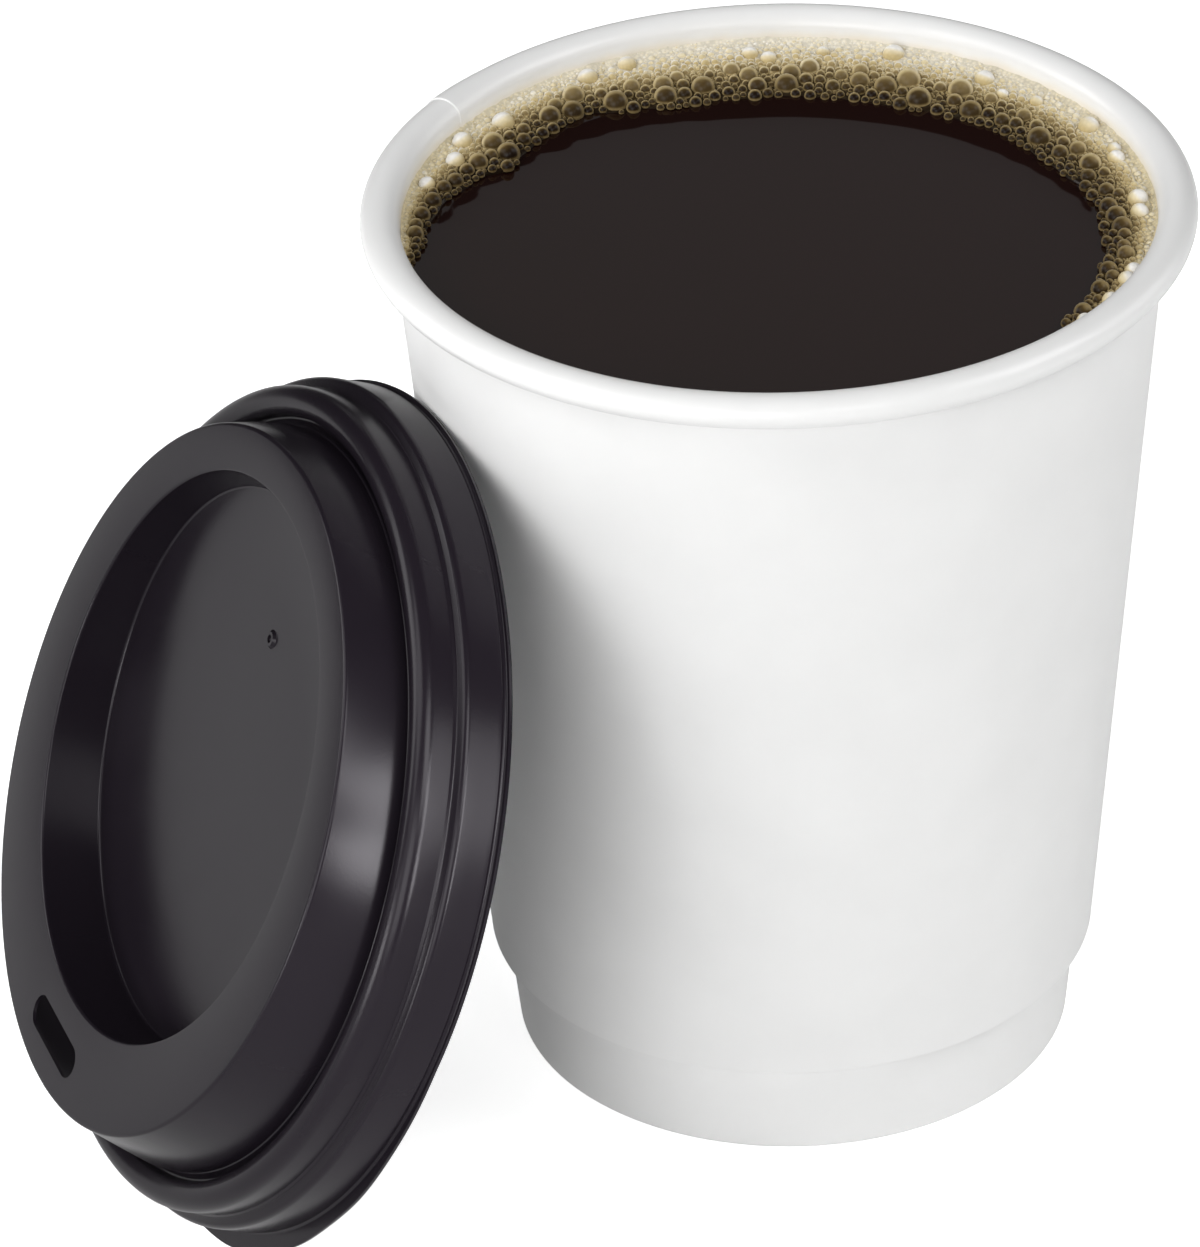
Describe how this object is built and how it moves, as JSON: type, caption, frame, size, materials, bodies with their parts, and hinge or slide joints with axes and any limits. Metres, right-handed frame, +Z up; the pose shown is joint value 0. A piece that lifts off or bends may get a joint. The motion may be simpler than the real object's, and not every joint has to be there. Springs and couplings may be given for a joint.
{
  "type": "paper coffee cup with lid",
  "caption": "White double-wall paper cup with a rolled rim, full of black coffee with a band of froth, and its black dome sip lid leaning on edge against it.",
  "frame": {"origin": "on the table, under the middle of the box round the cup and its lid", "axes": "+Z up out of the cup's mouth, +X from the leaning lid towards the cup, +Y to the back"},
  "size_m": [0.1204, 0.0872, 0.092],
  "materials": {
    "inner_board": "satin",
    "sleeve_board": "matte",
    "lid_plastic": "satin",
    "coffee": "gloss",
    "froth": "gloss"
  },
  "bodies": {
    "root": {"inner_cup": "inner_board", "base_disc": "inner_board", "outer_sleeve": "sleeve_board", "lid": "lid_plastic", "coffee": "coffee", "coffee_foam": "froth"}
  },
  "joints": []
}
